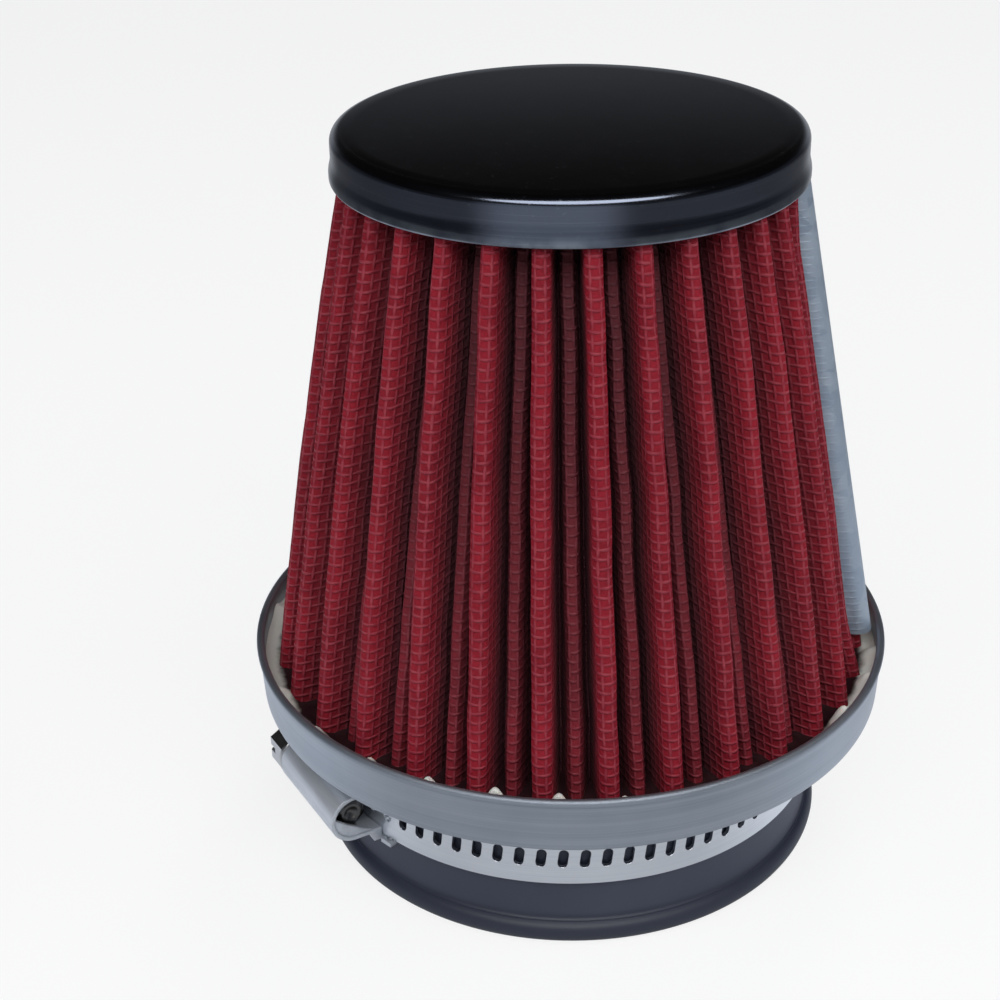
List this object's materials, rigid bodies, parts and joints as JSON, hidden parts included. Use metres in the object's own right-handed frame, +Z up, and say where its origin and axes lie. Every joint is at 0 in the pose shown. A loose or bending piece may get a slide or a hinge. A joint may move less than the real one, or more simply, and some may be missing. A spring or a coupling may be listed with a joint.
{
  "type": "cone air filter",
  "caption": "Clamp-on conical intake air filter: folded red gauze element between a pressed cap and a steel pan, with a rubber neck and a worm-drive band clamp.",
  "frame": {"origin": "centre of the neck's mouth, in the plane of its end face", "axes": "+Z up the cone's axis, from the neck towards the cap; -Y is the front, and the clamp's housing lies at the front left"},
  "size_m": [0.0972, 0.0972, 0.111],
  "materials": {
    "cap_plate": "dark mirror plating on pressed steel",
    "cap_glue": "dark cast resin",
    "filter_gauze": "red gauze behind a fine coated wire screen",
    "clip_steel": "galvanised strip with fine crimps",
    "pan_glue": "pale cast resin",
    "pan_steel": "satin pressed steel",
    "neck_rubber": "smooth dark blue-grey rubber",
    "clamp_steel": "bright rolled steel",
    "screw_steel": "plated steel"
  },
  "bodies": {
    "filter": {"top_cap": "cap_plate", "cap_glue": "cap_glue", "folded_element": "filter_gauze", "seam_clip": "clip_steel", "pan_glue": "pan_glue", "base_pan": "pan_steel", "neck_sleeve": "neck_rubber", "clamp_band": "clamp_steel", "clamp_saddle": "clamp_steel", "clamp_housing": "clamp_steel"},
    "screw": {"clamp_screw": "screw_steel"}
  },
  "joints": [
    {"name": "screw_turn", "type": "hinge", "parent": "filter", "child": "screw", "pos_m": [-0.03604, -0.02252, 0.0157], "axis": [0.5299, -0.848, 0], "continuous": true}
  ]
}
